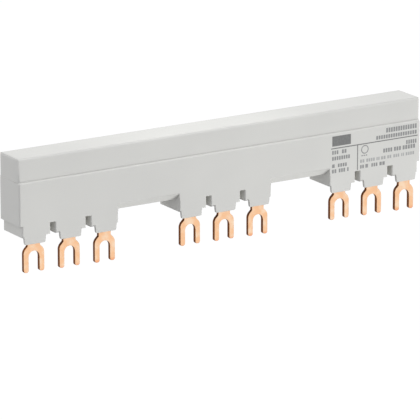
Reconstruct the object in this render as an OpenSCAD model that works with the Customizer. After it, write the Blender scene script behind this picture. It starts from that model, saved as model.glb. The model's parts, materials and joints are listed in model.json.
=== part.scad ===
// Comb busbar for a row of three-pole motor starters. All lengths are millimetres.
// X runs along the beam, Y from the printed front to the back, Z up.
// The origin is the centre of the middle fork's slot, halfway through the copper.

/* [Layout] */
// Number of devices side by side, each with one fork per phase
devices = 3; // [1:2:5]
// Distance between two devices
group_pitch = 63; // [54:0.5:72]
// Distance between neighbouring forks of one device
fork_pitch = 14.1; // [13.6:0.1:15]
// Distance from the outermost fork's centre to the end of the beam
end_margin = 6.1; // [5.9:0.1:8]
// Height of the beam's underside above the middle slots
fork_reach = 11.9; // [11.3:0.1:14]

/* [Forks] */
// Thickness of the copper sheet
copper_t = 1.4; // [1:0.1:1.8]
// Width of the screw slot
slot_w = 4.2; // [4:0.1:4.6]
// Width across both legs
fork_w = 8.1; // [7.6:0.1:8.7]
// Width of the neck above the shoulders
neck_w = 4.85; // [4:0.05:6]
// Length of the legs below the slot's centre
leg_l = 5.45; // [4.5:0.05:7]
// Height of the lower end of the shoulders above the slot's centre
shoulder_z = 2.3; // [2.1:0.1:2.8]
// Corner radius at the tips of the legs
tip_r = 0.8; // [0.3:0.1:0.8]
// How much lower the forks of each phase end than those of the phase before
fork_step = 0.35; // [0:0.05:0.5]

/* [Bars] */
// Air between a bar and the separator beside it
bar_gap = 0.5; // [0.3:0.05:0.8]
// Thickness of the insulating separators
separator_t = 1.5; // [0.8:0.1:1.8]
// Length of a bar past the centre of its outermost fork
bar_end = 3.6; // [3:0.1:3.8]
// Height of the bars' lower edges above the trough's floor
bar_seat = 2.1; // [1.8:0.1:3]
// Free height between the bars and the cap's ceiling
bar_headroom = 2.2; // [1.6:0.1:4]
// Angle from the vertical at which the tabs lean forward from the bars to the forks
tab_lean = 58; // [54:1:70]
// Inner radius of the bends at both ends of that slope
bend_r = 0.6; // [0.4:0.1:0.8]

/* [Housing] */
// Thickness of the body's walls and floor
wall = 1.2; // [1:0.1:1.6]
// Thickness of the tongues in front of the forks
tongue_t = 0.9; // [0.7:0.1:1]
// Height of the body's beam, up to the parting line
body_h = 15.3; // [13:0.1:20]
// Height of the cap above the parting line
cap_h = 8.4; // [7:0.1:12]
// Thickness of the cap's ceiling
ceiling_t = 1.1; // [0.9:0.1:1.4]
// How far the cap's front is set back from the body's
cap_step = 0.7; // [0.1:0.05:0.8]
// How far the cap's back is set in from the body's
cap_back_step = 0.1; // [0.05:0.05:0.8]
// How far the cap's ends are set in from the body's
cap_end_step = 0.05; // [0.05:0.05:0.4]
// Thickness of the skirt that locates the cap in the body
skirt_t = 0.6; // [0.5:0.05:0.8]
// Depth of that skirt below the parting line
skirt_h = 1.8; // [1:0.1:3]
// Air between the skirt and the outer bars
skirt_air = 0.35; // [0.3:0.05:0.8]
// Radius of the body's upright edges
body_r = 0.7; // [0.3:0.1:0.9]
// Radius of the cap's outer edges
cap_r = 0.9; // [0.4:0.1:1]
// Size of the 45 degree chamfer under the front edge between the devices
chamfer = 2.6; // [1.5:0.1:3]

/* [Sleeves] */
// Height of the sleeves below the beam
sleeve_h = 4.2; // [3.8:0.1:5]
// Thickness of the sleeves' floors
sleeve_floor = 1; // [0.8:0.1:1.2]
// Distance from the end of the beam to the outermost sleeve
sleeve_inset = 1.15; // [0.3:0.05:1.4]
// How far the sleeves' backs are set in from the body's
sleeve_back_step = 0.3; // [0.1:0.05:0.8]
// Width of the notch between two sleeves
notch_w = 2; // [1.6:0.1:2.6]
// Radius of the sleeves' outer edges
sleeve_r = 0.5; // [0.2:0.1:0.8]
// Height of the tongues below the sleeves
tongue_h = 2.55; // [1.5:0.05:2.6]
// Width of the tongues where they leave the sleeves
tongue_w = 8.65; // [8:0.05:9.2]
// How much each side of a tongue draws in towards its tip
tongue_draft = 0.25; // [0.1:0.05:0.5]
// Corner radius at the tip of a tongue
tongue_r = 0.5; // [0.2:0.1:0.6]

/* [Ribs] */
// Thickness of the ribs that hold the bars and separators
rib_t = 1.4; // [1:0.1:2]
// Depth to which the ribs grip the bars' lower edges
body_grip = 3; // [1:0.1:5]
// Depth to which the cap's ribs grip the bars' upper edges
cap_grip = 1.5; // [0.6:0.1:3]

/* [Clearances] */
// Play between a piece and the slot or groove that holds it
fit_gap = 0.1; // [0.05:0.05:0.15]
// Play on each side of a fork's head in its sleeve
head_gap = 0.15; // [0.05:0.05:0.15]
// Play above the upper edges of the bars and separators
top_gap = 0.2; // [0.1:0.05:0.3]
// Play at each end of the separators
separator_end_gap = 0.3; // [0.2:0.05:0.6]

/* [Hidden] */
phases = 3;
$fn = 48;
corner_steps = 4;
bend_steps = 8;
least_straight = 1;
cut = 1;
plastic_grey = [0.81, 0.82, 0.81];
separator_grey = [0.55, 0.57, 0.57];
copper = [0.93, 0.68, 0.52];

// Rows of forks and spaces along X
group_xs = [for (i = [0:devices - 1]) (i - (devices - 1) / 2) * group_pitch];
phase_xs = [for (i = [0:phases - 1]) (i - (phases - 1) / 2) * fork_pitch];
space_xs = [for (i = [0:1:devices - 2]) group_xs[i] + group_pitch / 2];
half_l = group_xs[devices - 1] + fork_pitch + end_margin;
sleeve_side = end_margin - sleeve_inset;
space_l = group_pitch - 2 * (fork_pitch + sleeve_side);

// The stack of bars and separators along Y
bar_pitch = copper_t + separator_t + 2 * bar_gap;
stack_d = phases * copper_t + (phases - 1) * (separator_t + 2 * bar_gap);
body_d = stack_d + 2 * (skirt_air + skirt_t + fit_gap + wall);
front_y = -copper_t / 2 - fit_gap - tongue_t;
back_y = front_y + body_d;
bar_ys = [for (i = [0:phases - 1])
    front_y + wall + fit_gap + skirt_t + skirt_air + copper_t / 2 + i * bar_pitch];
separator_ys = [for (i = [0:phases - 2]) bar_ys[i] + bar_pitch / 2];

// Levels along Z
beam_z = fork_reach;
floor_z = beam_z + wall;
parting_z = beam_z + body_h;
top_z = parting_z + cap_h;
ceiling_z = top_z - ceiling_t;
bar_z = floor_z + bar_seat;
bar_top = ceiling_z - bar_headroom;
separator_top = ceiling_z - top_gap;
sleeve_z = beam_z - sleeve_h;
tongue_z = sleeve_z - tongue_h;

// The tabs are upright again where they reach the trough, and their bends follow the middle of the sheet
tab_high = floor_z;
bend_mid = bend_r + copper_t / 2;
neck_z = shoulder_z + (fork_w - neck_w) / 2;
head_half = fork_w / 2 + head_gap;

// Angle of the slope of a tab whose bar lies further back than the fork by shift. It is a little less
// than two bends alone would need, so that a straight part is always left between them.
function lean(shift) = min(tab_lean, acos(1 - min(1, shift / (2 * bend_mid))) - least_straight);

// Length of the straight part of that slope
function slope_l(shift) = (shift - 2 * bend_mid * (1 - cos(lean(shift)))) / sin(lean(shift));

// Height at which that slope starts above the fork
function tab_low(shift) =
    tab_high - 2 * bend_mid * sin(lean(shift)) - slope_l(shift) * cos(lean(shift));

// Place of the back of that slope, in Y, at a given height
function slope_back(shift, z) = bend_mid * (1 - cos(lean(shift))) + copper_t / 2 / cos(lean(shift))
    + (z - tab_low(shift) - bend_mid * sin(lean(shift))) * tan(lean(shift));

// Rectangle from one corner to the other with round corners
module round_rect(low, high, r) {
    translate(low + [r, 0]) square(high - low - [2 * r, 0]);
    translate(low + [0, r]) square(high - low - [0, 2 * r]);
    for (x = [low[0] + r, high[0] - r], y = [low[1] + r, high[1] - r])
        translate([x, y]) circle(r);
}

// Block from low_z to high_z over a rectangle with round upright edges
module upright_block(low, high, low_z, high_z, r) {
    translate([0, 0, low_z]) linear_extrude(high_z - low_z) round_rect(low, high, r);
}

// Extrudes an outline drawn in Y and Z along X, centred on X = 0
module along_x(length) {
    rotate([90, 0, 90]) linear_extrude(length, center = true) children();
}

// Extrudes an outline drawn in X and Z along Y, from y_low to y_high
module along_y(y_low, y_high) {
    translate([0, y_high, 0]) rotate([90, 0, 0]) linear_extrude(y_high - y_low) children();
}

// Points along an arc around a centre, from one angle to another
function arc(centre, r, from, to, steps) =
    [for (i = [0:steps]) let (a = from + (to - from) * i / steps) centre + r * [cos(a), sin(a)]];

// Side view of a tab: up from the fork, back along a slope, and up to the bar
module tab_profile(shift) {
    half = copper_t / 2;
    angle = lean(shift);
    low = [bend_mid, tab_low(shift)];
    high = [shift - bend_mid, tab_high];
    front = concat([[-half, neck_z]], arc(low, bend_mid + half, 180, 180 - angle, bend_steps),
                   arc(high, bend_r, -angle, 0, bend_steps), [[shift - half, bar_z + cut]]);
    back = concat([[shift + half, bar_z + cut]], arc(high, bend_mid + half, 0, -angle, bend_steps),
                  arc(low, bend_r, 180 - angle, 180, bend_steps), [[half, neck_z]]);
    polygon(concat(front, back));
}

// Front view of a fork, from the tips of its legs to the neck
module fork_outline() {
    difference() {
        union() {
            translate([-fork_w / 2, tip_r - leg_l]) square([fork_w, shoulder_z + leg_l - tip_r]);
            polygon([[-fork_w / 2, shoulder_z], [fork_w / 2, shoulder_z],
                     [neck_w / 2, neck_z], [-neck_w / 2, neck_z]]);
            translate([-neck_w / 2, neck_z]) square([neck_w, cut]);
            for (side = [-1, 1]) leg_tip(side);
        }
        circle(slot_w / 2);
        translate([-slot_w / 2, -leg_l - cut]) square([slot_w, leg_l + cut]);
    }
}

// Rounded end of one leg
module leg_tip(side) {
    leg_w = (fork_w - slot_w) / 2;
    middle = side * (fork_w - leg_w) / 2;
    for (x = [-1, 1]) translate([middle + x * (leg_w / 2 - tip_r), tip_r - leg_l]) circle(tip_r);
    translate([middle - leg_w / 2 + tip_r, -leg_l]) square([leg_w - 2 * tip_r, tip_r]);
}

// One fork with its tab, for a phase counted from the left
module fork(phase) {
    drop = (phase - (phases - 1) / 2) * fork_step;
    translate([0, 0, -drop]) along_y(-copper_t / 2, copper_t / 2) fork_outline();
    along_x(neck_w) tab_profile(bar_ys[phase]);
}

// Stamped and bent comb of one phase
module comb(phase) {
    shift = phase_xs[phase];
    bar_low = group_xs[0] + shift - bar_end;
    bar_high = group_xs[devices - 1] + shift + bar_end;
    translate([bar_low, bar_ys[phase] - copper_t / 2, bar_z])
        cube([bar_high - bar_low, copper_t, bar_top - bar_z]);
    for (x = group_xs) translate([x + shift, 0, 0]) fork(phase);
}

// Insulating strip between two bars
module separator(index) {
    half = half_l - wall - fit_gap - skirt_t - separator_end_gap;
    translate([-half, separator_ys[index] - separator_t / 2, floor_z])
        cube([2 * half, separator_t, separator_top - floor_z]);
}

// Outline of a cross rib in Y and Z with the slots for the bars and the separators left out
module rib_outline(low_y, high_y, low_z, high_z, slot_low, slot_high) {
    difference() {
        translate([low_y, low_z]) square([high_y - low_y, high_z - low_z]);
        for (y = bar_ys)
            translate([y - copper_t / 2 - fit_gap, slot_low])
                square([copper_t + 2 * fit_gap, slot_high - slot_low]);
        for (y = separator_ys)
            translate([y - separator_t / 2 - fit_gap, low_z - cut])
                square([separator_t + 2 * fit_gap, high_z - low_z + 2 * cut]);
    }
}

// Places a cross rib beside each middle fork and in the middle of each space
module at_ribs() {
    for (x = concat([for (g = group_xs, side = [-1, 1]) g + side * fork_pitch / 2], space_xs))
        translate([x, 0, 0]) children();
}

// Front view of a tongue, tapered towards its tip, reaching up into the sleeve
module tongue_outline() {
    half_top = tongue_w / 2;
    root_z = sleeve_z + sleeve_r + sleeve_floor;
    lean = atan(tongue_draft / tongue_h);
    corner = [half_top - tongue_draft - tongue_r * (1 - sin(lean)) / cos(lean), tongue_z + tongue_r];
    right = arc(corner, tongue_r, -90, -lean, corner_steps);
    left = [for (i = [corner_steps:-1:0]) [-right[i][0], right[i][1]]];
    polygon(concat(right, [[half_top, sleeve_z], [half_top, root_z],
                           [-half_top, root_z], [-half_top, sleeve_z]], left));
}

// Outside of the sleeve of one phase, with its tongue
module sleeve(phase) {
    inner_side = (fork_pitch - notch_w) / 2;
    left = phase == 0 ? sleeve_side : inner_side;
    right = phase == phases - 1 ? sleeve_side : inner_side;
    high_y = back_y - sleeve_back_step;
    intersection() {
        upright_block([-left, front_y], [right, high_y], sleeve_z, beam_z + wall, sleeve_r);
        along_x(2 * fork_pitch)
            round_rect([front_y, sleeve_z], [high_y, beam_z + 2 * wall], sleeve_r);
    }
    along_y(front_y, front_y + tongue_t) tongue_outline();
}

// Space for a tab, open to the trough above, and the slot for the tab and the fork's head below it
module sleeve_pocket(phase) {
    low_y = front_y + tongue_t;
    low_z = sleeve_z + sleeve_floor;
    tab_back = bar_ys[phase] + copper_t / 2 + fit_gap;
    slot_back = max(copper_t / 2, slope_back(bar_ys[phase], low_z)) + fit_gap;
    translate([-head_half, low_y, low_z])
        cube([2 * head_half, tab_back - low_y, parting_z + cut - low_z]);
    translate([-head_half, low_y, sleeve_z - cut])
        cube([2 * head_half, slot_back - low_y, sleeve_floor + 2 * cut]);
}

// Corner that is taken off the front edge in a space between two devices
module space_chamfer() {
    along_x(space_l)
        polygon([[front_y - cut, beam_z - cut], [front_y + chamfer + cut, beam_z - cut],
                 [front_y - cut, beam_z + chamfer + cut]]);
}

// Block inside the body's outline, smaller than it by inset on every side
module inner_block(inset, low_z, high_z) {
    translate([inset - half_l, front_y + inset, low_z])
        cube([2 * (half_l - inset), body_d - 2 * inset, high_z - low_z]);
}

// Wall that follows the chamfer inside the trough
module space_gusset() {
    corner = [front_y + wall / 2, floor_z - wall / 2];
    side = chamfer + wall * (sqrt(2) - 1);
    along_x(space_l + 2 * wall)
        polygon([corner, corner + [side, 0], corner + [0, side]]);
}

// Trough with the comb sleeves and tongues underneath
module housing_body() {
    color(plastic_grey) difference() {
        union() {
            difference() {
                upright_block([-half_l, front_y], [half_l, back_y], beam_z, parting_z, body_r);
                inner_block(wall, floor_z, parting_z + cut);
            }
            for (x = space_xs) translate([x, 0, 0]) space_gusset();
            at_ribs() along_x(rib_t)
                rib_outline(front_y + wall / 2, back_y - wall / 2, floor_z, bar_z + body_grip,
                            bar_z, bar_z + body_grip + cut);
            for (g = group_xs, i = [0:phases - 1]) translate([g + phase_xs[i], 0, 0]) sleeve(i);
        }
        for (g = group_xs, i = [0:phases - 1])
            translate([g + phase_xs[i], 0, 0]) sleeve_pocket(i);
        for (x = space_xs) translate([x, 0, 0]) space_chamfer();
    }
}

// Outside of the cap above the parting line, round along its upper and upright edges
module cap_shell() {
    low = [-half_l + cap_end_step, front_y + cap_step];
    high = [half_l - cap_end_step, back_y - cap_back_step];
    intersection() {
        upright_block(low, high, parting_z, top_z, cap_r);
        along_x(2 * half_l) round_rect([low[1], beam_z], [high[1], top_z], cap_r);
        along_y(low[1], high[1]) round_rect([low[0], beam_z], [high[0], top_z], cap_r);
    }
}

// Cover with a locating skirt and ribs that hold the bars from above
module housing_cap() {
    skirt_out = wall + fit_gap;
    skirt_in = skirt_out + skirt_t;
    skirt_z = parting_z - skirt_h;
    color(plastic_grey) {
        difference() {
            union() {
                cap_shell();
                inner_block(skirt_out, skirt_z, parting_z + cut);
            }
            inner_block(skirt_in, skirt_z - cut, ceiling_z);
        }
        at_ribs() along_x(rib_t)
            rib_outline(front_y + skirt_out, back_y - skirt_out,
                        bar_top - cap_grip, ceiling_z + ceiling_t / 2,
                        bar_top - cap_grip - cut, bar_top + top_gap);
    }
}

module busbar_l1() { color(copper) comb(0); }
module busbar_l2() { color(copper) comb(1); }
module busbar_l3() { color(copper) comb(2); }
module separator_front() { color(separator_grey) separator(0); }
module separator_rear() { color(separator_grey) separator(1); }

housing_body();
housing_cap();
busbar_l1();
busbar_l2();
busbar_l3();
separator_front();
separator_rear();
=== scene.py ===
"""Looks of a comb busbar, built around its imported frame.

The housing and the three copper combs are refined from merged copies of their solids: flat faces are
dissolved to single polygons, moulded and stamped edges get their radii, and sheared copper edges get a finish
of their own. The printed marks on the front, the studio and the camera are modelled here.
"""
import json
import logging
import math
from collections.abc import Callable, Mapping, Sequence
from dataclasses import dataclass
from enum import Enum
from typing import Any

import bmesh
import bpy
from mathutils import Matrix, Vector


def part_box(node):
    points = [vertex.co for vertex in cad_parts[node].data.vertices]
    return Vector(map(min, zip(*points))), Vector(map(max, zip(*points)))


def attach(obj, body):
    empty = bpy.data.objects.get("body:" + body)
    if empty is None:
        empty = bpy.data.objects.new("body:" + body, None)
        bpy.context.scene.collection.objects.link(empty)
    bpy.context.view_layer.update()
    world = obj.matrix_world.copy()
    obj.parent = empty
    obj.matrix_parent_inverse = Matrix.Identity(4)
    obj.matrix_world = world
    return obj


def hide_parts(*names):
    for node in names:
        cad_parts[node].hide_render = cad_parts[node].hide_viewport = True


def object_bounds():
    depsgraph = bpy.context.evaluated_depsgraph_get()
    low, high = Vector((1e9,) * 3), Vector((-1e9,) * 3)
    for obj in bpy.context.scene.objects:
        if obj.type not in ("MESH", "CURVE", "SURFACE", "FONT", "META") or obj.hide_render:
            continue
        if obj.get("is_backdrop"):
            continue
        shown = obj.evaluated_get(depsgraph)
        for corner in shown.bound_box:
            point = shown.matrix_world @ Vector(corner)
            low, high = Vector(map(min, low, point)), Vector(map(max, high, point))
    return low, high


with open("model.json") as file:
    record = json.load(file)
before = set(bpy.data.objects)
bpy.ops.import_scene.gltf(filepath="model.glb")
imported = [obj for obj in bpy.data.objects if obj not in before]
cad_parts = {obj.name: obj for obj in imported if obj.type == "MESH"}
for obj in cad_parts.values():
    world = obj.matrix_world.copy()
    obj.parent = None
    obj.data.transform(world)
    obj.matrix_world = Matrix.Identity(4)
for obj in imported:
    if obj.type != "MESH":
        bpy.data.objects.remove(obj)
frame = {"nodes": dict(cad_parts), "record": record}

MM = 0.001
BODY = "root"
# The two colours that a Mix node blends and the colour that comes out, by the numbers of their sockets
MIX_FROM = 6
MIX_TO = 7
MIX_RESULT = 2
log = logging.getLogger("comb_busbar")

Colour = tuple[float, float, float, float]


class MaterialSlot(Enum):
    """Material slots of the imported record."""

    HOUSING = "housing_plastic"
    SEPARATOR = "separator_plastic"
    COPPER = "copper"


class Phase(Enum):
    """The three combs, by the node that holds each."""

    L1 = "busbar_l1"
    L2 = "busbar_l2"
    L3 = "busbar_l3"


def srgb(code: str) -> Colour:
    """Turns an sRGB hex value into the linear colour that shaders work with.

    Args:
        code: six hexadecimal digits after a hash mark.

    Returns:
        Linear red, green, blue and an alpha of 1.
    """
    def linear(channel: float) -> float:
        """Linear value of one sRGB channel from 0 to 1."""
        return channel / 12.92 if channel <= 0.04045 else ((channel + 0.055) / 1.055) ** 2.4

    return (*(linear(int(code[i:i + 2], 16) / 255) for i in (1, 3, 5)), 1.0)


def add_node(tree: bpy.types.NodeTree, kind: str, inputs: Mapping[str | int, Any] | None = None,
             **settings: Any) -> bpy.types.Node:
    """Adds one node with its settings, constants and links.

    Args:
        tree: node tree that gets the node.
        kind: Blender's name of the node's type.
        inputs: constants, or output sockets to link from, by the input's name or number.
        settings: properties of the node itself.

    Returns:
        The new node.
    """
    node = tree.nodes.new(kind)
    for name, value in settings.items():
        setattr(node, name, value)
    for key, value in (inputs or {}).items():
        if isinstance(value, bpy.types.NodeSocket):
            tree.links.new(value, node.inputs[key])
        else:
            node.inputs[key].default_value = value
    return node


@dataclass(frozen=True)
class Finish:
    """A surface: what it is made of and how it was made."""

    name: str
    colour: str
    roughness: float

    def material(self) -> bpy.types.Material:
        """Builds the material once and returns the same one afterwards.

        Returns:
            The material of this finish.
        """
        found = bpy.data.materials.get(self.name)
        if found is not None:
            return found
        made = bpy.data.materials.new(self.name)
        made.use_nodes = True
        made.node_tree.nodes.clear()
        self.build(made.node_tree)
        return made

    def build(self, tree: bpy.types.NodeTree) -> None:
        """Adds the finish's nodes to an empty tree."""
        raise NotImplementedError

    def surface(self, tree: bpy.types.NodeTree, inputs: Mapping[str | int, Any]) -> None:
        """Ends a tree in a Principled surface with the given inputs."""
        shader = add_node(tree, "ShaderNodeBsdfPrincipled", inputs)
        add_node(tree, "ShaderNodeOutputMaterial", {"Surface": shader.outputs["BSDF"]})


@dataclass(frozen=True)
class MouldedPlastic(Finish):
    """Injection-moulded polyamide from a spark-eroded tool: matt, with a fine grain and faint flow clouds."""

    cloud_colour: str = "#CBCBC6"
    grain_mm: float = 0.35
    grain_depth_mm: float = 0.012
    cloud_mm: float = 28.0
    ior: float = 1.53

    def build(self, tree: bpy.types.NodeTree) -> None:
        """Adds the grain as bump and the flow clouds as a slow change of tone.

        The real grain is finer than a pixel of the photograph, so it is drawn coarser, to show at all.

        Args:
            tree: node tree that gets the nodes.
        """
        place = add_node(tree, "ShaderNodeTexCoord").outputs["Object"]
        clouds = add_node(tree, "ShaderNodeTexNoise", {"Vector": place, "Scale": 1 / (self.cloud_mm * MM),
                                                       "Detail": 2.0, "Roughness": 0.45})
        tone = add_node(tree, "ShaderNodeMix", {"Factor": clouds.outputs["Fac"],
                                                MIX_FROM: srgb(self.cloud_colour),
                                                MIX_TO: srgb(self.colour)}, data_type="RGBA")
        grain = add_node(tree, "ShaderNodeTexNoise", {"Vector": place, "Scale": 1 / (self.grain_mm * MM),
                                                      "Detail": 3.0, "Roughness": 0.6})
        bump = add_node(tree, "ShaderNodeBump", {"Height": grain.outputs["Fac"], "Strength": 0.5,
                                                 "Distance": self.grain_depth_mm * MM})
        self.surface(tree, {"Base Color": tone.outputs[MIX_RESULT], "Roughness": self.roughness,
                            "IOR": self.ior, "Normal": bump.outputs["Normal"]})


@dataclass(frozen=True)
class PadPrint(Finish):
    """Pad-printed ink on matt plastic: a thin satin film, a little thinner in some places than in others."""

    thin_colour: str = "#A0A19F"
    patch_mm: float = 0.9

    def build(self, tree: bpy.types.NodeTree) -> None:
        """Lets the plastic shine through the film in small patches.

        Args:
            tree: node tree that gets the nodes.
        """
        place = add_node(tree, "ShaderNodeTexCoord").outputs["Object"]
        patches = add_node(tree, "ShaderNodeTexNoise", {"Vector": place, "Scale": 1 / (self.patch_mm * MM),
                                                        "Detail": 2.0})
        share = add_node(tree, "ShaderNodeMapRange", {"Value": patches.outputs["Fac"], "From Min": 0.4,
                                                      "From Max": 0.75, "To Max": 0.6})
        tone = add_node(tree, "ShaderNodeMix", {"Factor": share.outputs["Result"],
                                                MIX_FROM: srgb(self.colour),
                                                MIX_TO: srgb(self.thin_colour)}, data_type="RGBA")
        self.surface(tree, {"Base Color": tone.outputs[MIX_RESULT], "Roughness": self.roughness})


@dataclass(frozen=True)
class RolledCopper(Finish):
    """Bare rolled copper sheet: a soft peach sheen, mottled by handling, with faint lines from the rolls, and
    a painted reflection towards the forks' tips.
    """

    pale_colour: str = "#FEDFC0"
    # Colour of the painted reflection at the forks' tips
    tip_reflection_colour: str = "#F7AE80"
    line_mm: float = 0.12
    stretch: float = 14.0
    roughness_spread: float = 0.05
    patch_mm: float = 2.6
    # Heights over which the painted reflection comes in, and its largest share
    reflection_start_mm: float = -4.3
    reflection_end_mm: float = -5.6
    tip_reflection_share: float = 0.85

    def build(self, tree: bpy.types.NodeTree) -> None:
        """Adds pale mottling, a painted reflection as a deeper orange towards the forks' tips, and rolling
        lines in the sheen.

        Args:
            tree: node tree that gets the nodes.
        """
        place = add_node(tree, "ShaderNodeTexCoord").outputs["Object"]
        patches = add_node(tree, "ShaderNodeTexNoise", {"Vector": place, "Scale": 1 / (self.patch_mm * MM),
                                                        "Detail": 2.0})
        share = add_node(tree, "ShaderNodeMapRange", {"Value": patches.outputs["Fac"], "From Min": 0.42,
                                                      "From Max": 0.68})
        mottled = add_node(tree, "ShaderNodeMix", {"Factor": share.outputs["Result"],
                                                   MIX_FROM: srgb(self.colour),
                                                   MIX_TO: srgb(self.pale_colour)}, data_type="RGBA")
        height = add_node(tree, "ShaderNodeSeparateXYZ", {"Vector": place}).outputs["Z"]
        # Painted reflection: the colour turns a deeper orange towards the forks' tips, in place of the
        # reflection at their rounded ends
        painted_tip_reflection = add_node(tree, "ShaderNodeMapRange", {"Value": height, "From Min": self.reflection_start_mm * MM,
                                                    "From Max": self.reflection_end_mm * MM,
                                                    "To Max": self.tip_reflection_share},
                       interpolation_type="SMOOTHSTEP")
        tone = add_node(tree, "ShaderNodeMix", {"Factor": painted_tip_reflection.outputs["Result"],
                                                MIX_FROM: mottled.outputs[MIX_RESULT],
                                                MIX_TO: srgb(self.tip_reflection_colour)}, data_type="RGBA")
        drawn = add_node(tree, "ShaderNodeMapping", {"Vector": place, "Scale": (1.0, 1.0, 1 / self.stretch)})
        lines = add_node(tree, "ShaderNodeTexNoise", {"Vector": drawn.outputs["Vector"],
                                                      "Scale": 1 / (self.line_mm * MM), "Detail": 2.0})
        rough = add_node(tree, "ShaderNodeMapRange", {"Value": lines.outputs["Fac"],
                                                      "To Min": self.roughness - self.roughness_spread,
                                                      "To Max": self.roughness + self.roughness_spread})
        self.surface(tree, {"Base Color": tone.outputs[MIX_RESULT], "Metallic": 1.0,
                            "Roughness": rough.outputs["Result"]})


@dataclass(frozen=True)
class ShearedCopper(Finish):
    """Stamped edge of the sheet: rough from the die and coloured dark brown, a little lighter in patches."""

    dark_colour: str = "#50280A"
    patch_mm: float = 2.0

    def build(self, tree: bpy.types.NodeTree) -> None:
        """Adds the lighter patches.

        Args:
            tree: node tree that gets the nodes.
        """
        place = add_node(tree, "ShaderNodeTexCoord").outputs["Object"]
        patches = add_node(tree, "ShaderNodeTexNoise", {"Vector": place, "Scale": 1 / (self.patch_mm * MM),
                                                        "Detail": 1.0})
        tone = add_node(tree, "ShaderNodeMix", {"Factor": patches.outputs["Fac"],
                                                MIX_FROM: srgb(self.dark_colour),
                                                MIX_TO: srgb(self.colour)}, data_type="RGBA")
        self.surface(tree, {"Base Color": tone.outputs[MIX_RESULT], "Metallic": 1.0,
                            "Roughness": self.roughness})


@dataclass(frozen=True)
class StudioFloor(Finish):
    """Backlit white paper: white to the eye and in reflections, with the object's soft shadow.

    The light that it throws back on the object is that of greyer paper. The glow is a little over 1, so that
    it and the lit paper in it add up to white.
    """

    shadow_depth: float = 0.2
    glow: float = 1.1
    bounce_colour: str = "#BCBCBC"

    def build(self, tree: bpy.types.NodeTree) -> None:
        """Shows glowing paper to camera, glossy and transmission rays, and greyer paper to all others.

        Args:
            tree: node tree that gets the nodes.
        """
        seen = Studio.seen_directly(tree)
        paper = add_node(tree, "ShaderNodeBsdfDiffuse", {"Color": srgb(self.colour)})
        glow = add_node(tree, "ShaderNodeEmission", {"Color": srgb(self.colour), "Strength": self.glow})
        shaded = add_node(tree, "ShaderNodeMixShader", {0: self.shadow_depth, 1: glow.outputs["Emission"],
                                                        2: paper.outputs["BSDF"]})
        bounce = add_node(tree, "ShaderNodeBsdfDiffuse", {"Color": srgb(self.bounce_colour)})
        mix = add_node(tree, "ShaderNodeMixShader", {0: seen, 1: bounce.outputs["BSDF"],
                                                     2: shaded.outputs["Shader"]})
        add_node(tree, "ShaderNodeOutputMaterial", {"Surface": mix.outputs["Shader"]})


HOUSING_PLASTIC = MouldedPlastic("moulded_grey_polyamide", "#D7D7D1", 0.5)
SEPARATOR_PLASTIC = MouldedPlastic("extruded_grey_strip", "#8F9391", 0.45, cloud_colour="#888C8A")
COPPER_FACE = RolledCopper("rolled_copper_sheet", "#FCCBA0", 0.42)
COPPER_EDGE = ShearedCopper("sheared_copper_edge", "#7E4716", 0.5)
DARK_INK = PadPrint("pad_printed_dark_ink", "#727371", 0.45, thin_colour="#848583")
INK = PadPrint("pad_printed_ink", "#888988", 0.45)
PALE_INK = PadPrint("pad_printed_pale_ink", "#A5A6A4", 0.45, thin_colour="#B5B6B3")
PAPER = StudioFloor("studio_paper", "#FFFFFF", 1.0)


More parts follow.
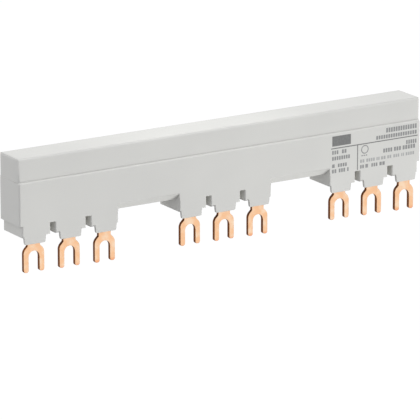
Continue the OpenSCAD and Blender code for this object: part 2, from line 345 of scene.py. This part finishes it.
class Bench:
    """Modelling steps on Blender's own operators, with what they act on selected in code."""

    @staticmethod
    def pick(*objects: bpy.types.Object) -> None:
        """Deselects everything, then selects these objects and makes the first one active.

        Args:
            objects: objects to select.
        """
        bpy.ops.object.select_all(action="DESELECT")
        for each in objects:
            each.select_set(True)
        bpy.context.view_layer.objects.active = objects[0]

    @staticmethod
    def merged_copy(node: str, name: str) -> bpy.types.Object:
        """Copies a solid's mesh, joins its loose triangles and dissolves its flat faces.

        Args:
            node: name of the solid's node.
            name: name of the new piece.

        Returns:
            The new piece, at the origin.
        """
        source = frame["nodes"][node]
        piece = bpy.data.objects.new(name, source.data.copy())
        bpy.context.scene.collection.objects.link(piece)
        piece.data.name = name
        piece.data.materials.clear()
        Bench.pick(piece)
        bpy.ops.object.mode_set(mode="EDIT")
        bpy.ops.mesh.select_all(action="SELECT")
        bpy.ops.mesh.remove_doubles(threshold=0.001 * MM)
        bpy.ops.mesh.dissolve_limited(angle_limit=math.radians(0.5))
        bpy.ops.object.mode_set(mode="OBJECT")
        return piece

    @staticmethod
    def lacks_room(edge: bmesh.types.BMEdge, radii: Mapping[int, float]) -> bool:
        """Tells whether an edge to round ends at one that stays sharp and is shorter than its radius."""
        room = radii[edge.index] * MM
        return any(other.index not in radii and other.calc_length() < room
                   for end in edge.verts for other in end.link_edges)

    @staticmethod
    def find_radii(mesh: bpy.types.Mesh, radius_at: Callable[[Vector], float],
                   over_deg: float) -> dict[int, float]:
        """Finds the outer edges that are sharper than an angle and have room for their radius.

        Args:
            mesh: mesh of the piece.
            radius_at: gives the radius in millimetres of an edge by the middle of the edge.
            over_deg: angle between two faces above which their edge is rounded.

        Returns:
            The radius in millimetres of each edge to round, by the edge's number.
        """
        shape = bmesh.new()
        shape.from_mesh(mesh)
        shape.edges.ensure_lookup_table()
        radii = {}
        for edge in shape.edges:
            if edge.calc_face_angle_signed(0.0) > math.radians(over_deg):
                radius = radius_at((edge.verts[0].co + edge.verts[1].co) / 2)
                if radius:
                    radii[edge.index] = radius
        while crowded := [index for index in radii if Bench.lacks_room(shape.edges[index], radii)]:
            for index in crowded:
                del radii[index]
        shape.free()
        return radii

    @staticmethod
    def soften(piece: bpy.types.Object, radius_at: Callable[[Vector], float], largest_mm: float,
               segments: int, over_deg: float) -> None:
        """Rounds the outer edges that are sharper than an angle, each by the radius of its place.

        Clamping is off, because it would cut all radii down to suit the shortest edge. What find_radii gives
        has room without it.

        Args:
            piece: object to finish.
            radius_at: gives the radius in millimetres of an edge by the middle of the edge.
            largest_mm: largest radius that radius_at gives.
            segments: number of strips across each rounded edge.
            over_deg: angle between two faces above which their edge is rounded.
        """
        radii = Bench.find_radii(piece.data, radius_at, over_deg)
        weights = piece.data.attributes.new("bevel_weight_edge", "FLOAT", "EDGE")
        for index, radius in radii.items():
            weights.data[index].value = radius / largest_mm
        log.info("%s: %d edges rounded", piece.name, len(radii))
        Bench.pick(piece)
        bevel = piece.modifiers.new("edge_radius", "BEVEL")
        bevel.limit_method = "WEIGHT"
        bevel.width = largest_mm * MM
        bevel.segments = segments
        bevel.use_clamp_overlap = False
        bpy.ops.object.modifier_apply(modifier=bevel.name)
        piece.data.attributes.remove(piece.data.attributes["bevel_weight_edge"])

    @staticmethod
    def shade(piece: bpy.types.Object, over_deg: float, broad_mm: float = 0.2) -> None:
        """Shades a piece smooth across the strips of its rounded edges and flat across its broad faces.

        Args:
            piece: object to finish.
            over_deg: angle between two faces above which their edge stays sharp.
            broad_mm: area divided by outline, above which a face counts as broad.
        """
        Bench.pick(piece)
        bpy.ops.object.shade_smooth_by_angle(angle=math.radians(over_deg))
        mesh = piece.data
        for face in mesh.polygons:
            outline = sum((mesh.vertices[i].co - mesh.vertices[k].co).length for i, k in face.edge_keys)
            if face.area > broad_mm * MM * outline:
                for corner in face.loop_indices:
                    mesh.edges[mesh.loops[corner].edge_index].use_edge_sharp = True

    @staticmethod
    def hand_over(piece: bpy.types.Object, slot: MaterialSlot, *nodes: str) -> None:
        """Lets a piece ride on the one body, in place of some nodes.

        Args:
            piece: finished object.
            slot: not used.
            nodes: names of the nodes that the piece stands for, if any.
        """
        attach(piece, BODY)
        if nodes:
            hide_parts(*nodes)


@dataclass
class Moulding:
    """One moulded half of the housing, with radii on its edges and a closed joint to the other half.

    Fields:
        node: node of the half's solid.
        body_box: lowest and highest corner of the body's solid, in metres.
        fork_xs: place of each fork along the beam, in metres.
        fine_radius_mm: radius of most edges.
        lip_radius_mm: radius of the body's upper edge, along the step up to the cap.
        corner_mm: depth of the body's front corners, which the upper edge's radius runs round.
        close_mm: largest distance that counts as none.
        beam_mm: height of the beam's underside.
        ink_room_mm: how far the front is set back, so that the print stays inside the solids' box.
        wall_mm: a little less than the thickness of the walls and the trough's floor.
        tongue_mm: a little less than the thickness of the tongues.
        pocket_mm: a little more than half the width of the pocket round a fork's tab.
        sleeve_mm: a little less than the height of the sleeves' undersides.
        finish: finish of the whole half.
    """

    node: str
    body_box: tuple[Vector, Vector]
    fork_xs: tuple[float, ...]
    fine_radius_mm: float = 0.18
    lip_radius_mm: float = 0.6
    corner_mm: float = 0.7
    close_mm: float = 0.01
    beam_mm: float = 11.9
    ink_room_mm: float = 0.02
    wall_mm: float = 1.15
    tongue_mm: float = 0.6
    pocket_mm: float = 4.25
    sleeve_mm: float = 7.6
    finish: Finish = HOUSING_PLASTIC

    def is_inside(self, middle: Vector) -> bool:
        """Tells whether an edge lies in the trough or in the pocket of a fork's tab.

        Args:
            middle: middle of the edge, in metres.

        Returns:
            True for an edge in there.
        """
        low, high = self.body_box
        wall = self.wall_mm * MM
        if middle.y > high.y - wall:
            return False
        between_ends = low.x + wall < middle.x < high.x - wall
        above_floor = middle.z > (self.beam_mm + self.wall_mm) * MM
        in_trough = middle.y > low.y + wall and between_ends and above_floor
        by_fork = any(abs(middle.x - x) < self.pocket_mm * MM for x in self.fork_xs)
        in_sleeve = middle.y > low.y + self.tongue_mm * MM and middle.z > self.sleeve_mm * MM
        return in_trough or (by_fork and in_sleeve)

    def radius_at(self, middle: Vector) -> float:
        """Radius of an edge, by its middle.

        Args:
            middle: middle of the edge, in metres.

        Returns:
            The radius in millimetres. It is 0 inside, round the underside and where the halves meet flush.
        """
        if self.is_inside(middle) or abs(middle.z - self.beam_mm * MM) < self.close_mm * MM:
            return 0.0
        if abs(middle.z - self.body_box[1].z) < self.close_mm * MM:
            at_step = self.node == "housing_body" and middle.y < self.body_box[0].y + self.corner_mm * MM
            return self.lip_radius_mm if at_step else 0.0
        return self.fine_radius_mm

    def build(self) -> bpy.types.Object:
        """Refines the moulding from its solid.

        Returns:
            The piece.
        """
        piece = Bench.merged_copy(self.node, f"{self.node}_moulding")
        front = self.body_box[0].y + self.ink_room_mm * MM
        for vertex in piece.data.vertices:
            vertex.co.y = max(vertex.co.y, front)
        Bench.soften(piece, self.radius_at, self.lip_radius_mm, segments=3, over_deg=40)
        Bench.shade(piece, over_deg=40)
        piece.data.materials.append(self.finish.material())
        Bench.hand_over(piece, MaterialSlot.HOUSING, self.node)
        return piece


@dataclass
class Comb:
    """Stamped and bent copper comb of one phase.

    Fields:
        phase: phase of the comb, by its node.
        edge_radius_mm: radius of the stamped edges.
        shoulder_cut_mm: size of the rounding at the forks' shoulders and necks.
        shoulder_zone_mm: heights between which the shoulders and necks lie.
        close_mm: largest distance that counts as none.
        edge_tilt: how much the normal of a stamped edge may point forward or back.
        face_finish: finish of the sheet's own faces.
        edge_finish: finish of the stamped edges.
    """

    phase: Phase
    edge_radius_mm: float = 0.12
    shoulder_cut_mm: float = 1.0
    shoulder_zone_mm: tuple[float, float] = (1.5, 4.6)
    close_mm: float = 0.01
    edge_tilt: float = 0.3
    face_finish: Finish = COPPER_FACE
    edge_finish: Finish = COPPER_EDGE

    def shoulder_at(self, middle: Vector) -> float:
        """Size of the rounding at a corner of the fork's outline, by the middle of the edge there.

        Args:
            middle: middle of the edge, in metres. On a corner of the outline it is halfway through the sheet.

        Returns:
            The size in millimetres, which is 0 away from the shoulders and the neck.
        """
        low, high = self.shoulder_zone_mm
        at_shoulder = low * MM < middle.z < high * MM and abs(middle.y) < self.close_mm * MM
        return self.shoulder_cut_mm if at_shoulder else 0.0

    def build(self) -> bpy.types.Object:
        """Refines the comb from its solid and gives its sheared edges their own finish.

        The sheet's own faces all lean forward or back, so what doesn't is a sheared edge.

        Returns:
            The piece.
        """
        piece = Bench.merged_copy(self.phase.value, f"{self.phase.value}_comb")
        piece.data.materials.append(self.face_finish.material())
        piece.data.materials.append(self.edge_finish.material())
        for face in piece.data.polygons:
            face.material_index = int(abs(face.normal.y) < self.edge_tilt)
        Bench.soften(piece, self.shoulder_at, self.shoulder_cut_mm, segments=4, over_deg=40)
        Bench.soften(piece, lambda middle: self.edge_radius_mm, self.edge_radius_mm, segments=3, over_deg=60)
        Bench.shade(piece, over_deg=60)
        Bench.hand_over(piece, MaterialSlot.COPPER, self.phase.value)
        return piece


@dataclass
class Separators:
    """The two insulating strips between the bars, which keep their solids."""

    nodes: tuple[str, ...] = ("separator_front", "separator_rear")
    finish: Finish = SEPARATOR_PLASTIC

    def dress(self) -> list[bpy.types.Object]:
        """Gives both strips their finish.

        Returns:
            The strips, which are the nodes themselves.
        """
        strips = [frame["nodes"][name] for name in self.nodes]
        for strip in strips:
            strip.data.materials.clear()
            strip.data.materials.append(self.finish.material())
        return strips


@dataclass(frozen=True)
class BarRow:
    """Printed bars between two heights, by where each starts and ends along the beam, in millimetres."""

    low: float
    high: float
    spans: tuple[tuple[float, float], ...]


@dataclass
class PrintedMarks:
    """Printed marks of one ink on the body's front: rows of plain bars or blocks, and a plain ring.

    Fields:
        name: name of the piece.
        ink: finish of the marks.
        rows: the bars.
        ring: whether the ring is printed in this ink.
        block_mm: width of the blocks that a bar is divided into, or 0 for a bar in one.
        gap_mm: gap after each block.
        corner_mm: corner radius of the bars.
        corner_points: number of points in each corner.
        film_mm: thickness of the marks, half of which lies in the plastic.
        ring_centre_mm: place of the ring's centre in X and Z.
        ring_radius_mm: outer radius of the ring.
        ring_line_mm: width of the ring's line.
        ring_points: number of points round the ring.
    """

    name: str
    ink: Finish
    rows: tuple[BarRow, ...]
    ring: bool = False
    block_mm: float = 0.0
    gap_mm: float = 0.3
    corner_mm: float = 0.12
    corner_points: int = 4
    film_mm: float = 0.04
    ring_centre_mm: tuple[float, float] = (59.0, 19.5)
    ring_radius_mm: float = 1.6
    ring_line_mm: float = 0.35
    ring_points: int = 48

    def build(self, front: float) -> bpy.types.Object:
        """Prints all bars and the ring and joins them.

        Args:
            front: place of the solid's front in Y, in metres.

        Returns:
            The piece.
        """
        pattern = self.model_bar(front)
        printed = [self.stretch(pattern, row.low, row.high, block)
                   for row in self.rows for span in row.spans for block in self.divide(span)]
        if self.ring:
            printed.append(self.model_ring(front))
        bpy.data.objects.remove(pattern)
        Bench.pick(*printed)
        bpy.ops.object.join()
        piece = printed[0]
        piece.name = piece.data.name = self.name
        piece.data.materials.append(self.ink.material())
        Bench.hand_over(piece, MaterialSlot.HOUSING)
        return piece

    def divide(self, span: tuple[float, float]) -> list[tuple[float, float]]:
        """Divides a span into even blocks of about the set width, or leaves it whole where that is 0.

        Args:
            span: left and right end of the span, in millimetres.

        Returns:
            The left and right end of each block.
        """
        if not self.block_mm:
            return [span]
        count = max(1, round((span[1] - span[0]) / self.block_mm))
        step = (span[1] - span[0]) / count
        return [(span[0] + i * step, span[0] + (i + 1) * step - self.gap_mm) for i in range(count)]

    def give_depth(self, piece: bpy.types.Object, front: float) -> None:
        """Turns a flat outline in X and Y upright, at the front, and makes it as thick as the film.

        Args:
            piece: the outline, which is the active and only selected object.
            front: place of the solid's front in Y, in metres.
        """
        piece.rotation_euler.x = math.pi / 2
        piece.location.y = front
        bpy.ops.object.transform_apply(location=True, rotation=True, scale=True)
        bpy.ops.object.mode_set(mode="EDIT")
        bpy.ops.mesh.select_all(action="SELECT")
        bpy.ops.mesh.extrude_region_move(TRANSFORM_OT_translate={"value": (0, self.film_mm * MM, 0)})
        bpy.ops.mesh.select_all(action="SELECT")
        bpy.ops.mesh.normals_make_consistent(inside=False)
        bpy.ops.object.mode_set(mode="OBJECT")

    def model_bar(self, front: float) -> bpy.types.Object:
        """Models a round dot with as many points in each quarter as a bar has at each corner.

        Args:
            front: place of the solid's front in Y, in metres.

        Returns:
            The dot, centred on X = 0 and Z = 0.
        """
        points = 4 * self.corner_points
        bpy.ops.object.select_all(action="DESELECT")
        bpy.ops.mesh.primitive_circle_add(vertices=points, radius=self.corner_mm * MM, fill_type="NGON",
                                          rotation=(0, 0, math.pi / points))
        dot = bpy.context.active_object
        bpy.ops.object.transform_apply(location=True, rotation=True, scale=True)
        self.give_depth(dot, front)
        return dot

    def stretch(self, pattern: bpy.types.Object, low: float, high: float,
                span: tuple[float, float]) -> bpy.types.Object:
        """Copies the dot and moves its quarters apart to a bar.

        Args:
            pattern: the dot, centred on X = 0 and Z = 0.
            low: lower edge of the bar, in millimetres.
            high: upper edge of the bar, in millimetres.
            span: left and right end of the bar, in millimetres.

        Returns:
            The bar, with its own mesh.
        """
        bar = bpy.data.objects.new(self.name, pattern.data.copy())
        bpy.context.scene.collection.objects.link(bar)
        left, right = span[0] + self.corner_mm, span[1] - self.corner_mm
        below, above = low + self.corner_mm, high - self.corner_mm
        for vertex in bar.data.vertices:
            vertex.co.x += (right if vertex.co.x > 0 else left) * MM
            vertex.co.z += (above if vertex.co.z > 0 else below) * MM
        return bar

    def model_ring(self, front: float) -> bpy.types.Object:
        """Models the ring from a circle whose rim is drawn inwards.

        Args:
            front: place of the solid's front in Y, in metres.

        Returns:
            The ring, in its place.
        """
        bpy.ops.object.select_all(action="DESELECT")
        bpy.ops.mesh.primitive_circle_add(vertices=self.ring_points, radius=self.ring_radius_mm * MM,
                                          fill_type="NOTHING")
        ring = bpy.context.active_object
        inner = 1 - self.ring_line_mm / self.ring_radius_mm
        bpy.ops.object.mode_set(mode="EDIT")
        bpy.ops.mesh.select_all(action="SELECT")
        bpy.ops.mesh.extrude_edges_move()
        bpy.ops.transform.resize(value=(inner, inner, 1))
        bpy.ops.object.mode_set(mode="OBJECT")
        self.give_depth(ring, front)
        for vertex in ring.data.vertices:
            vertex.co.x += self.ring_centre_mm[0] * MM
            vertex.co.z += self.ring_centre_mm[1] * MM
        return ring


FRONT_PRINT = (
    PrintedMarks("printed_rules", DARK_INK, (
        BarRow(21.43, 21.78, ((44.4, 82.0),)),
        BarRow(12.2, 21.5, ((55.68, 56.03),)),
        BarRow(22.4, 26.1, ((44.9, 52.9),)))),
    PrintedMarks("printed_rows", INK, (
        BarRow(24.4, 26.1, ((68.2, 81.8),)),
        BarRow(22.3, 23.7, ((63.9, 81.8),)),
        BarRow(19.4, 20.8, ((44.9, 47.8), (49.1, 51.3))),
        BarRow(17.2, 18.6, ((44.9, 52.8),)),
        BarRow(14.5, 15.8, ((44.9, 46.3), (47.4, 51.5))),
        BarRow(12.5, 13.9, ((44.9, 47.0), (47.8, 50.8), (51.4, 52.3))),
        BarRow(18.9, 20.4, ((77.0, 81.8),)),
        BarRow(17.1, 17.5, ((57.5, 60.3),)),
        BarRow(17.1, 18.6, ((67.0, 71.2), (71.7, 75.0), (75.5, 81.2))),
        BarRow(12.6, 13.9, ((57.0, 58.9), (59.3, 60.7), (61.9, 64.8), (65.4, 68.0)))),
                 ring=True, block_mm=1.05),
    PrintedMarks("printed_pale_row", PALE_INK, (
        BarRow(14.7, 15.9, ((57.0, 59.1), (59.7, 63.6), (64.1, 65.7), (66.1, 68.3), (68.8, 70.8),
                            (71.5, 74.3), (74.9, 76.4), (76.9, 80.8))),), block_mm=1.0))


@dataclass(frozen=True)
class Softbox:
    """Rectangular lamp with an even face.

    Fields:
        name: name of the lamp.
        aim_mm: point that it faces.
        direction: where it is, seen from that point.
        distance_mm: distance from that point.
        size_mm: width and height of its face.
        level: share of white that it alone gives a white surface that faces it.
        mirrored: whether glossy surfaces show it.
    """

    name: str
    aim_mm: tuple[float, float, float]
    direction: tuple[float, float, float]
    distance_mm: float
    size_mm: tuple[float, float]
    level: float
    mirrored: bool = True

    def build(self) -> bpy.types.Object:
        """Hangs the lamp.

        Returns:
            The lamp.
        """
        data = bpy.data.lights.new(self.name, "AREA")
        data.shape = "RECTANGLE"
        data.size, data.size_y = (side * MM for side in self.size_mm)
        data.energy = self.level * (math.pi * self.distance_mm * MM) ** 2
        lamp = bpy.data.objects.new(self.name, data)
        bpy.context.scene.collection.objects.link(lamp)
        towards = Vector(self.direction).normalized()
        lamp.location = (Vector(self.aim_mm) + towards * self.distance_mm) * MM
        lamp.rotation_mode = "QUATERNION"
        lamp.rotation_quaternion = (-towards).to_track_quat("-Z", "Y")
        lamp.visible_camera = False
        lamp.visible_glossy = self.mirrored
        return lamp


@dataclass
class Studio:
    """Pale floor, an even dome and four softboxes: the key, one low in front, one at the end, one above."""

    floor_drop_mm: float = 900.0
    floor_size_mm: float = 16000.0
    dome_colour: str = "#F6F6FC"
    dome_strength: float = 0.72
    softboxes: tuple[Softbox, ...] = (
        Softbox("key_softbox", (0.0, 5.0, 35.6), (0.45, -0.30, 0.84), 1500.0, (650.0, 650.0), 0.40),
        Softbox("front_softbox", (0.0, 0.0, 15.0), (0.55, -0.58, -0.60), 1000.0, (500.0, 500.0), 0.6,
                mirrored=False),
        Softbox("side_softbox", (-83.0, 5.0, 20.0), (-0.8, 0.35, 0.5), 1000.0, (500.0, 500.0), 0.20),
        Softbox("top_softbox", (-8.0, 5.0, 35.6), (0.0, 0.0, 1.0), 58.0, (60.0, 24.0), 0.25))

    def build(self) -> None:
        """Builds the floor, the world and the lamps."""
        self.build_floor()
        self.build_world()
        for softbox in self.softboxes:
            softbox.build()

    @staticmethod
    def seen_directly(tree: bpy.types.NodeTree) -> bpy.types.NodeSocket:
        """Gives 1 for camera, glossy and transmission rays, and 0 for the rays that light the object.

        Args:
            tree: node tree of the floor or the world.

        Returns:
            The socket with that value.
        """
        path = add_node(tree, "ShaderNodeLightPath").outputs
        shiny = add_node(tree, "ShaderNodeMath", {0: path["Is Glossy Ray"], 1: path["Is Transmission Ray"]},
                         operation="MAXIMUM")
        return add_node(tree, "ShaderNodeMath", {0: path["Is Camera Ray"], 1: shiny.outputs["Value"]},
                        operation="MAXIMUM").outputs["Value"]

    def build_floor(self) -> None:
        """Lays the paper well under the forks, because the part hangs from its screws."""
        low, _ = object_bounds()
        bpy.ops.object.select_all(action="DESELECT")
        bpy.ops.mesh.primitive_plane_add(size=self.floor_size_mm * MM,
                                         location=(0, 0, low.z - self.floor_drop_mm * MM))
        floor = bpy.context.active_object
        floor.name = "studio_floor"
        bpy.ops.object.transform_apply(location=True, rotation=True, scale=True)
        floor.data.materials.append(PAPER.material())
        floor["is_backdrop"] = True

    def build_world(self) -> None:
        """Lights the object evenly, with a white background for the camera and for reflections."""
        world = bpy.data.worlds.new("studio_dome")
        bpy.context.scene.world = world
        world.use_nodes = True
        tree = world.node_tree
        tree.nodes.clear()
        dome = add_node(tree, "ShaderNodeBackground", {"Color": srgb(self.dome_colour),
                                                       "Strength": self.dome_strength})
        white = add_node(tree, "ShaderNodeBackground", {"Color": srgb("#FFFFFF"), "Strength": 1.0})
        mix = add_node(tree, "ShaderNodeMixShader", {0: self.seen_directly(tree),
                                                     1: dome.outputs["Background"],
                                                     2: white.outputs["Background"]})
        add_node(tree, "ShaderNodeOutputWorld", {"Surface": mix.outputs["Shader"]})


@dataclass
class PhotoCamera:
    """Long lens at the photograph's viewing angle, without shift."""

    aim_mm: tuple[float, float, float] = (-27.29, -34.75, 17.60)
    azimuth_deg: float = -32.07
    elevation_deg: float = 15.67
    distance_mm: float = 1356.2
    lens_mm: float = 340.9
    sensor_mm: float = 36.0
    nearest_m: float = 0.05
    farthest_m: float = 30.0

    def build(self) -> bpy.types.Object:
        """Places the camera and makes it the scene's.

        Returns:
            The camera.
        """
        data = bpy.data.cameras.new("photo_camera")
        data.lens, data.sensor_width = self.lens_mm, self.sensor_mm
        data.clip_start, data.clip_end = self.nearest_m, self.farthest_m
        camera = bpy.data.objects.new("photo_camera", data)
        bpy.context.scene.collection.objects.link(camera)
        turn, rise = math.radians(self.azimuth_deg), math.radians(self.elevation_deg)
        back = Vector((math.sin(turn) * math.cos(rise), -math.cos(turn) * math.cos(rise), math.sin(rise)))
        camera.location = (Vector(self.aim_mm) + back * self.distance_mm) * MM
        camera.rotation_mode = "QUATERNION"
        camera.rotation_quaternion = (-back).to_track_quat("-Z", "Y")
        bpy.context.scene.camera = camera
        return camera


def report(piece: bpy.types.Object) -> None:
    """Logs a piece's name and number of polygons."""
    log.info("%s: %d polygons", piece.name, len(piece.data.polygons))


def main() -> None:
    """Builds the sub-assemblies, the studio and the camera in order."""
    logging.basicConfig(level=logging.INFO, format="%(name)s: %(message)s")
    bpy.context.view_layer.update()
    PhotoCamera().build()
    body_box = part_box("housing_body")
    fork_xs = tuple(mount["pos_m"][0] for mount in frame["record"]["mounts"])
    for half in ("housing_body", "housing_cap"):
        report(Moulding(half, body_box, fork_xs).build())
    for phase in Phase:
        report(Comb(phase).build())
    for strip in Separators().dress():
        report(strip)
    for marks in FRONT_PRINT:
        report(marks.build(body_box[0].y))
    Studio().build()
    bpy.context.scene.view_settings.view_transform = "Standard"


if __name__ == "__main__":
    main()
